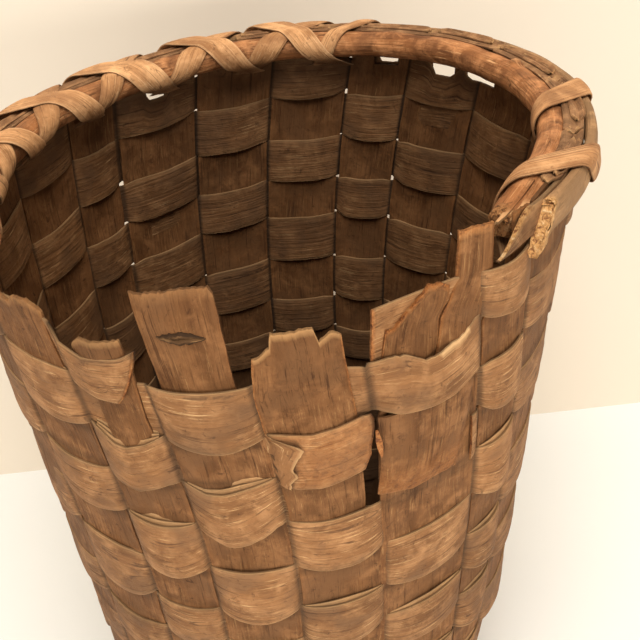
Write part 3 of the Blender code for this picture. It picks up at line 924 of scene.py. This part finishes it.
def addScar(body):
    # dark eye left by a knot, with pale fibres across its middle
    right, left = stakeEdges(scar["column"], scar["height"])

    def shape(place, t, outer):
        wide = 2 * place - 1
        across = mix(scar["right"], scar["left"], place)
        half = scar["tall"] / 2 * (1 - abs(wide) ** 1.6) * (1 + 0.25 * wobble((place * 9, t, 0), 0.9))
        z = scar["height"] + scar["slant"] * wide + (half + scar["least"]) * (2 * t - 1)
        share = (across - right) / (left - right)
        spot, _ = stakePoint(scar["column"], z, share, True)
        inside, _ = stakePoint(scar["column"], z, share, False)
        ring = abs(2 * t - 1)
        proud = scar["proud"] * (0.25 + sin(pi * ring)) * (1 - wide * wide)
        fibre = min(0.25 + 1.2 * max(wobble((place * 3, t * 14, 5), 1.0), 0), 1) * smooth(ring, 0.75, 0.4)
        spot += (spot - inside).normalized() * (proud if outer else -scar["sunk"])
        return spot, (0.0, 0.0, 1.12 - 0.9 * fibre, fibre)

    addStrip(body, steps(30), 14, shape, (0.04, 0.006, 7.7))


def addSplinter(body):
    # the split off right part of an upright, standing higher than the rest
    heights = [mix(stakeTop, splinter["foot"], share) for share in steps(20)]

    def shape(z, t, outer):
        spot, marks = stakePoint(splinter["column"], z, t, outer, splinter)
        return spot, (splinter["tone"], *marks)

    addStrip(body, heights, 14, shape, (0.07, 0.02, 3.3))


def makeSplints():
    side = wall["perSide"]
    back, right, left = Vector((0, -1, 0)), Vector((1, 0, 0)), Vector((-1, 0, 0))
    for number in range(2 * side):
        ranked, lane = divmod(number, side)  # ranked splints run from right to left
        first, last = ranked * side + lane, (3 + ranked) * side - 1 - lane
        others = range(side)[::-1] if ranked else range(side)
        levels = [stake["high" if (lane + other + ranked) % 2 else "low"] for other in others]
        forward, sideways = (left, back) if ranked else (back, right)
        body = newBody()
        shape = splintShape(lane, first, forward, sideways, number)
        cuts = stake["cuts"] if ranked else freeZone["cuts"]
        addStrip(body, splintPlaces(first, last, levels), cuts, shape, (1.0, 0.038, number * 1.7))
        if last == splinter["column"]:
            addSplinter(body)
        if scar["column"] in (first, last):
            addScar(body)
        way = "right_left" if ranked else "back_front"
        finishPiece(f"splint_{way}_{lane + 1}", body, stakeWood)


# Rim. Arcs are in degrees round the rim's centre, and the hoops break off at
# their first end.
rim = {
    "hoopRadius": 0.007, "hoopArc": (-43.5, 212), "bandArc": (-49, 209), "splitArc": (-42, 216), "gap": 0.0003,
    "bandThickness": 0.0016, "bandTop": 0.0055, "bandBottom": -0.0075,
    "splitThickness": 0.0055, "splitTop": 0.006, "splitBottom": -0.008, "splitPower": 0.55,
    "perDegree": 2.0, "around": 20, "splitAround": 24, "hoopDip": 0.0055, "hoopDipFrom": 14,
    "bandDip": 0.0125, "bandTaper": 0.002, "tip": 0.008, "tipFrom": 4,
    "knot": (22, 1.2), "knotSize": (2.6, 0.7), "knotRise": 0.0022,
    "frayFrom": 5.0, "fray": 2.6, "thinEnd": 0.3, "slope": 4.0, "slopeFrom": 7.0, "rag": 700, "rough": 0.0012,
}
widest = radians(meanTurn * max(wall["pitches"]) / 2)
hoopCentre = wall["rimRadius"] * cos(widest) - stake["thickness"] / 2 - rim["gap"] - rim["hoopRadius"]
bandInner = wall["rimRadius"] + stake["thickness"] / 2 + rim["gap"]
splitInner = bandInner + rim["bandThickness"] + rim["gap"]
splitOuter = splitInner + rim["splitThickness"]


def rimPoint(turned, radius, height):
    return rimCentre + ray(radians(turned)) * radius + Vector((0, 0, height))


def rimKey(turned, z=0):  # place for noise that runs along the rim
    return ray(radians(turned), z) * 2


# How far parts of the rim wander, and over what length
rimWaver = {
    "hoop": (0.0005, 0.22), "hoopAround": (0.0003, 0.35), "hoopLevel": (0.0012, 0.5), "band": (0.0006, 0.2),
    "split": (0.0008, 0.4), "splitThick": (0.08, 0.15), "coverIn": (0.0008, 0.3), "coverOut": (0.0006, 0.25),
    "coverLevel": (0.0007, 0.35),
}


def waver(label, key, seed=0.0):
    reach, size = rimWaver[label]
    return reach * wobble(key, size, seed)


def hoopDrop(turned):  # the broken end of the hoop sags
    start = rim["hoopArc"][0]
    return rim["hoopDip"] * smooth(turned, start + rim["hoopDipFrom"], start)


def turnsOf(arc):
    count = round((arc[1] - arc[0]) * rim["perDegree"])
    return [mix(*arc, share) for share in steps(count)]


def hoopShape(turned, t):
    angle = 2 * pi * t
    x, y = cos(angle), sin(angle)
    start, end = rim["hoopArc"]
    key = rimKey(turned)
    radius = rim["hoopRadius"] + waver("hoop", key) + waver("hoopAround", (x, y, turned * 0.02), 2)
    whole = smooth(min(turned - start, end - turned), 0.0, 1.2)
    radius *= 0.8 + 0.2 * whole
    frayed = smooth(turned - start, rim["frayFrom"], 0.0)
    radius *= 1 - rim["thinEnd"] * frayed * (0.6 + 0.5 * wobble((2.5 * x, 2.5 * y, turned * 0.3), 0.9, 12))
    turned += rim["fray"] * frayed ** 2 * (0.5 + 0.5 * wobble((2 * x, 2 * y, 0), 0.9, 11))
    level = waver("hoopLevel", key, 3) - hoopDrop(turned)
    (atTurn, atAngle), (wide, tall) = rim["knot"], rim["knotSize"]
    knot = max(0.0, 1 - hypot((turned - atTurn) / wide, (angle - atAngle) / tall))
    radius += rim["knotRise"] * smooth(knot, 0, 1)
    spot = rimPoint(turned, hoopCentre + radius * x, radius * y + level)
    raw = max(0.7 * (1 - whole), 0.95 * smooth(frayed, 0.15, 0.5))
    return spot, (0.0, raw, 0.5 * smooth(abs(knot - 0.45), 0.2, 0.0), 0.5 * smooth(knot, 0.5, 0.9))


def bandShape(turned, t, outer):
    key = rimKey(turned)
    start = rim["bandArc"][0]
    dip = rim["bandDip"] * smooth(turned, start + 8, start)
    top = rim["bandTop"] + waver("band", key, 4) - dip
    top -= rim["bandTaper"] * (1 - smooth(turned, start, start + 7))
    bottom = rim["bandBottom"] + waver("band", key, 5) - 0.1 * dip
    radius = bandInner + (rim["bandThickness"] if outer else 0)
    raw = smooth(t, 0.7, 1) * smooth(turned, start + 9, start + 7)
    spot = rimPoint(turned, radius, mix(bottom, top, t))
    return spot, (0.6, 0.9 * raw, 0.0, 0.3 * smooth(t, 0.8, 1))


def splitShape(turned, t):
    angle = 2 * pi * t
    x, y = cos(angle), sin(angle)
    key = rimKey(turned)
    start, end = rim["splitArc"]
    thick = rim["splitThickness"] / 2
    tall = (rim["splitTop"] - rim["splitBottom"]) / 2
    middle = (rim["splitTop"] + rim["splitBottom"]) / 2 + waver("split", key, 6)
    flat = copysign(abs(x) ** rim["splitPower"], x)
    high = copysign(abs(y) ** rim["splitPower"], y)
    slope = rim["slope"] * smooth(high, -0.6, 0.8)
    torn = smooth(min(turned - start - slope / 2, end - turned), 3.5, 0.0)
    tip = smooth(turned, start + rim["tipFrom"], start)
    rough = rim["rough"] * torn * wobble((turned, angle * 2, 0), 0.8, 8)
    radius = splitInner + thick + thick * flat * (1 + waver("splitThick", key, 7)) + rough - 0.001 * tip
    level = middle + tall * high - tip * rim["tip"] * (0.4 if high > 0 else 1.0)
    turned += rim["rag"] * rough + slope * smooth(turned, start + rim["slopeFrom"], start) ** 2
    return rimPoint(turned, radius, level), (0.5, 0.9 * torn, 0.0, 0.2 + 0.5 * torn)


cover = {
    "inner": 0.1388, "outer": 0.1476, "height": 0.0052, "thickness": 0.0009, "layer": 0.0009, "upperIn": 0.0032,
    "upperOut": 0.0007, "crown": 0.0008, "next": 0.0004, "shorter": 4, "cuts": 6,
    "arcs": ((-33, -13), (-15, 11), (9, 33), (31, 52), (50, 78), (76, 100), (104, 127), (125, 149),
             (147, 171), (169, 205)),
}


def coverShape(arc, seed):
    # thin splint laid on the rim between the hoops, its ends ragged
    upper = seed % 2

    def shape(turned, t, outer):
        key = rimKey(turned, seed)
        ends = smooth(min(turned - arc[0], arc[1] - turned), 0.0, 1.5)
        inner = cover["inner"] + waver("coverIn", key, seed) + cover["upperIn"] * upper
        reach = cover["outer"] + waver("coverOut", key, seed + 3) + cover["upperOut"] * upper
        radius = mix(inner, reach, 0.5 + (t - 0.5) * mix(0.45, 1, ends))
        level = cover["height"] + waver("coverLevel", key, seed + 6)
        level += cover["crown"] * sin(2.5 * pi * t) + cover["layer"] * upper * (1 - 0.5 * t)
        level += (cover["thickness"] if outer else 0) + cover["next"] * (seed // 2 % 2)
        markShare = 1 - ends
        return rimPoint(turned, radius, level), (0.45 - 0.4 * upper, 0.25 * markShare, 0.1, 0.35 * markShare)

    return shape


# Fibres split off the hoop near its broken end
fibres = (
    {"arc": (-31.0, -42.0), "reach": 0.0060, "height": 0.0052, "fall": 0.0015, "wide": 0.0046, "raw": 0.62},
    {"arc": (-33.0, -44.0), "reach": 0.0022, "height": 0.0062, "fall": 0.0022, "wide": 0.0036, "raw": 0.75},
)


def addFibre(body, fibre, seed):
    start, end = fibre["arc"]

    def shape(place, t, outer):
        ragged = 0.9 * wobble((t * 4, seed, 0), 0.9) * smooth(place, 0.7, 1.0)
        turned = mix(start, end, place) + ragged
        wide = fibre["wide"] * (1 - 0.6 * place * place) * (1 + 0.2 * wobble((place * 3, seed, 4), 0.8))
        height = fibre["height"] - fibre["fall"] * place * place - hoopDrop(turned) + 0.0012 * faceSide(outer)
        raw = 0.9 * smooth(place, fibre["raw"] - 0.1, fibre["raw"] + 0.1)
        return rimPoint(turned, hoopCentre + fibre["reach"] + wide * (t - 0.5), height), (0.5, 0.0, 0.0, raw)

    addStrip(body, steps(24), 6, shape, (0.03, 0.005, 6.0 + seed))


def makeRim():
    body = newBody()
    addTube(body, turnsOf(rim["hoopArc"]), rim["around"], hoopShape, (0.6, 0.044, 0.0))
    for seed, fibre in enumerate(fibres):
        addFibre(body, fibre, seed)
    finishPiece("inner_hoop", body, hoopWood)
    body = newBody()
    addStrip(body, turnsOf(rim["bandArc"]), 4, bandShape, (0.66, 0.013, 2.2))
    for count, (start, end) in enumerate(cover["arcs"]):
        for upper in (0, 1):
            shorter = [upper * (1 + cover["shorter"] * dice(word, count)) for word in ("arc", "arcEnd")]
            arc = (start + shorter[0], end - shorter[1])
            seed = 2 * count + upper
            addStrip(body, turnsOf(arc), cover["cuts"], coverShape(arc, seed), (0.1, 0.01, seed * 0.7))
    finishPiece("rim_band", body, splitWood)
    body = newBody()
    addTube(body, turnsOf(rim["splitArc"]), rim["splitAround"], splitShape, (0.68, 0.035, 4.1))
    finishPiece("outer_hoop", body, splitWood)


# Lashings
lash = {
    "thickness": 0.001, "width": 0.0208, "narrow": 0.55, "gap": 0.0003, "layer": 0.0017, "crown": 0.0005,
    "tuck": 0.002, "slant": 24, "inner": 216, "top": 94, "steps": 14, "cornerSteps": 5, "cuts": 10,
    "stand": 0.0062, "hang": 0.0132, "over": 0.0006, "under": 0.0004, "corner": 0.0022, "edge": 0.5,
    "angles": (87.5, 108.5, 131, 152, 174, 196), "narrowAngle": 73, "narrowSlant": 16,
    "right": ((0.0, -20), (-29.0, -27)), "taper": 0.45, "tone": 0.2, "toneSpread": 0.5, "underTone": 0.4,
}


def lashWay(offset):
    # way over the rim from inside to out, as radius and height with its outward direction
    hoop = Vector((hoopCentre, 0))
    found = []

    def addArc(centre, radius, start, end, count):
        for share in steps(count):
            turned = radians(mix(start, end, share))
            normal = ray(turned).xy
            found.append((centre + normal * (radius + offset), normal))

    addArc(hoop, rim["hoopRadius"] + lash["over"], lash["inner"], lash["top"], lash["steps"])
    corner = lash["corner"]
    crown = Vector((splitOuter - corner, rim["splitTop"] - corner))
    heel = Vector((splitOuter - corner, rim["splitBottom"] + corner))
    addArc(crown, corner + lash["over"], 90, 0, lash["cornerSteps"])
    addArc(heel, corner + lash["under"], 0, -90, lash["cornerSteps"])
    high, normal = found[0]
    low = Vector((wall["rimRadius"] - lash["stand"] - offset, -lash["hang"]))
    wallWay = Vector((-0.95, -0.3))
    rise = [(low.lerp(high, share), wallWay.lerp(normal, share).normalized()) for share in steps(4)[:-1]]
    return rise + found + [(found[-1][0] - Vector((lash["tuck"], 0)), Vector((0, -1)))]


def addLashing(body, angle, slant, layer, width, seed, taper=1.0):
    way = lashWay(lash["gap"] + lash["thickness"] / 2 + layer * lash["layer"])
    lengths = [0.0]
    for (first, _), (last, _) in zip(way, way[1:]):
        lengths.append(lengths[-1] + (last - first).length)
    halfTurn = degrees(width / 2 / wall["rimRadius"])
    tone = lash["tone"] + lash["toneSpread"] * dice("lash", seed) + lash["underTone"] * (1 - layer)

    def shape(place, t, outer):
        point, normal = way[place]
        share = lengths[place] / lengths[-1]
        key = (seed * 3.7, share * 2, 0)
        slim = mix(taper, 1, smooth(share, 0.0, 0.6)) * mix(0.62, 1, smooth(share, 0.0, 0.2))
        slim *= 1 + 0.12 * wobble(key, 0.4, 8 if t < 0.5 else 9)
        turned = angle + slant * (0.5 - share) + (2 * t - 1) * halfTurn * slim
        crown = lash["crown"] * (1 - (2 * t - 1) ** 2)
        thick = faceSide(outer) * lash["thickness"] * thinned(t, lash["edge"])
        level = point + normal * (crown + thick)
        level.y -= hoopDrop(turned) * smooth(share, 0.6, 0.3)
        edge = nearEdge(t, 0.1)
        # Darker towards the lower inside end of each lashing and along the edges of the under strips
        markShare = 0.8 * smooth(share, 0.34, 0.08) * (0.6 + 0.5 * wobble(key, 0.2)) + 0.25 * (1 - layer) * edge
        return rimPoint(turned, level.x, level.y), (tone, 0.0, markShare, 0.3 * edge * layer)

    addStrip(body, list(range(len(way))), lash["cuts"], shape, (0.06, width, seed * 1.9))


def makeLashing(name, *given):
    body = newBody()
    addLashing(body, *given)
    finishPiece(name, body, lashWood)


def makeLashings():
    for count, angle in enumerate(lash["angles"], 1):
        for layer, (word, turned) in enumerate((("under", 1), ("over", -1))):
            slant = turned * lash["slant"] * (0.85 + 0.3 * dice("slant", count, word))
            width = lash["width"] * (0.85 + 0.3 * dice("width", count, word))
            makeLashing(f"lashing_{word}_{count}", angle, slant, layer, width, count * 2 + layer)
    narrow = lash["width"] * lash["narrow"]
    makeLashing("lashing_narrow", lash["narrowAngle"], lash["narrowSlant"], 0, narrow, 31)
    for count, (angle, slant) in enumerate(lash["right"], 1):
        makeLashing(f"lashing_right_{count}", angle, slant, 0, lash["width"], 40 + count, lash["taper"])


# Patch
patch = {
    "column": 10, "top": 0.346, "thickness": 0.0013, "rise": 0.0017, "bow": 0.0028, "edge": 0.35, "tone": 0.35,
    "right": ((0.288, -0.50), (0.3247, -0.79), (0.346, -0.86)),
    "left": ((0.296, 1.13), (0.312, 1.02), (0.346, 0.95)),
    "foot": ((0.0, 0.2892), (0.55, 0.2885), (0.9, 0.2945), (1.0, 0.2968)), "rag": 0.0006, "step": 0.004,
}


def patchShape(share, t, outer):
    foot = along(patch["foot"], t) + patch["rag"] * wobble((t * 8, 0, 0), 0.7)
    top = patch["top"] - patch["step"] * smooth(t, 0.5, 0.75)
    z = mix(top, foot, share)
    right, left = along(patch["right"], z), along(patch["left"], z)
    middle = 2 * t - 1
    offset = patch["rise"] + patch["bow"] * (1 - middle * middle) ** 0.7 * smooth(share, 1.0, 0.8)
    if outer:
        offset += patch["thickness"] * (patch["edge"] if t in (0.0, 1.0) or share == 1.0 else 1.0)
    spot = wallPoint(patch["column"], mix(right, left, t), z, offset)
    return spot, (patch["tone"], 0.35 * smooth(share, 0.5, 0.95), 0.0, 0.3 * smooth(share, 0.97, 1.0))


def makePatch():
    body = newBody()
    addStrip(body, steps(28), 16, patchShape, (0.05, 0.035, 5.5))
    finishPiece("patch_splint", body, stakeWood)


makeWeavers()
print("weavers made")
makeSplints()
print("long splints made")
makeRim()
makeLashings()
makePatch()
print("rim, lashings and patch made")

# Camera, light and stage. The camera stands where the photograph was taken from;
# its focal length is in pixels of the photograph, which is as wide as photoWidth.
view = {
    "distance": Vector((0.059575, -0.423899, 0.186573)), "pitch": 34.349, "yaw": -6.047, "roll": -8.470,
    "focal": 962.0, "photoWidth": 640, "sensor": 36,
}
cameraData = bpy.data.cameras.new("photoCamera")
cameraData.sensor_width = view["sensor"]
cameraData.lens = view["sensor"] * view["focal"] / view["photoWidth"]
camera = addObject("photoCamera", cameraData)
camera.matrix_world = (
    Matrix.Translation(rimCentre + view["distance"])
    @ Matrix.Rotation(-radians(view["yaw"]), 4, "Z")
    @ Matrix.Rotation(radians(90 - view["pitch"]), 4, "X")
    @ Matrix.Rotation(radians(view["roll"]), 4, "Z")
)
bpy.context.scene.camera = camera

stage = {
    "size": 6.0, "floor": (0.875, 0.87, 0.825), "backdrop": (0.80, 0.705, 0.575), "rough": 0.9, "shine": 0.1,
    "wallPoint": (0.166, 0.248), "wallTurn": 3.0,
}


def stageMaterial(name, colour, oneSided):
    made = bpy.data.materials.new(name)
    made.use_nodes = True
    tree = made.node_tree
    shader = tree.nodes["Principled BSDF"]
    shader.inputs["Base Color"].default_value = (*colour, 1)
    shader.inputs["Roughness"].default_value = stage["rough"]
    shader.inputs["Specular IOR Level"].default_value = stage["shine"]
    if oneSided:  # seen through from behind
        behind = node(tree, "ShaderNodeNewGeometry").outputs["Backfacing"]
        clear = node(tree, "ShaderNodeBsdfTransparent").outputs[0]
        mixed = node(tree, "ShaderNodeMixShader", {0: behind, 1: shader.outputs[0], 2: clear}).outputs[0]
        tree.links.new(mixed, tree.nodes["Material Output"].inputs["Surface"])
    return made


def stagePlane(name, matrix, finish):
    plane = bmesh.new()
    bmesh.ops.create_grid(plane, x_segments=1, y_segments=1, size=stage["size"] / 2, matrix=matrix)
    meshObject(name, plane, finish)


stagePlane("floor", Matrix.Identity(4), stageMaterial("floorPaint", stage["floor"], False))
upright = (
    Matrix.Translation((*stage["wallPoint"], 0))
    @ Matrix.Rotation(radians(stage["wallTurn"]), 4, "Z")
    @ Matrix.Translation((0, 0, stage["size"] / 2))
    @ Matrix.Rotation(radians(90), 4, "X")
)
stagePlane("backdrop", upright, stageMaterial("backdropPaint", stage["backdrop"], True))

lights = {
    "key": {"at": (-0.4, -2.1, 0.42), "wide": 1.8, "tall": 0.5, "power": 13.0, "aim": 0.3},
    "top": {"at": (0.2, -0.9, 2.2), "wide": 1.4, "tall": 1.4, "power": 50.0, "aim": 0.2},
    "fill": {"at": (1.1, -1.8, 0.45), "wide": 1.4, "tall": 0.5, "power": 10.0, "aim": 0.3},
}
room = {"colour": (1.0, 0.97, 0.93), "strength": 0.25}
for name, given in lights.items():
    lamp = bpy.data.lights.new(name, "AREA")
    lamp.shape = "ELLIPSE"
    lamp.size, lamp.size_y = given["wide"], given["tall"]
    lamp.energy = given["power"]
    lamp.color = room["colour"]
    holder = addObject(name, lamp)
    holder.location = given["at"]
    aim = Vector((0, 0, given["aim"])) - holder.location
    holder.rotation_euler = aim.to_track_quat("-Z", "Y").to_euler()
world = bpy.data.worlds.new("room")
world.use_nodes = True
world.node_tree.nodes["Background"].inputs["Color"].default_value = (*room["colour"], 1)
world.node_tree.nodes["Background"].inputs["Strength"].default_value = room["strength"]
bpy.context.scene.world = world
bpy.context.scene.view_settings.view_transform = "Standard"
print("camera, light and stage made")
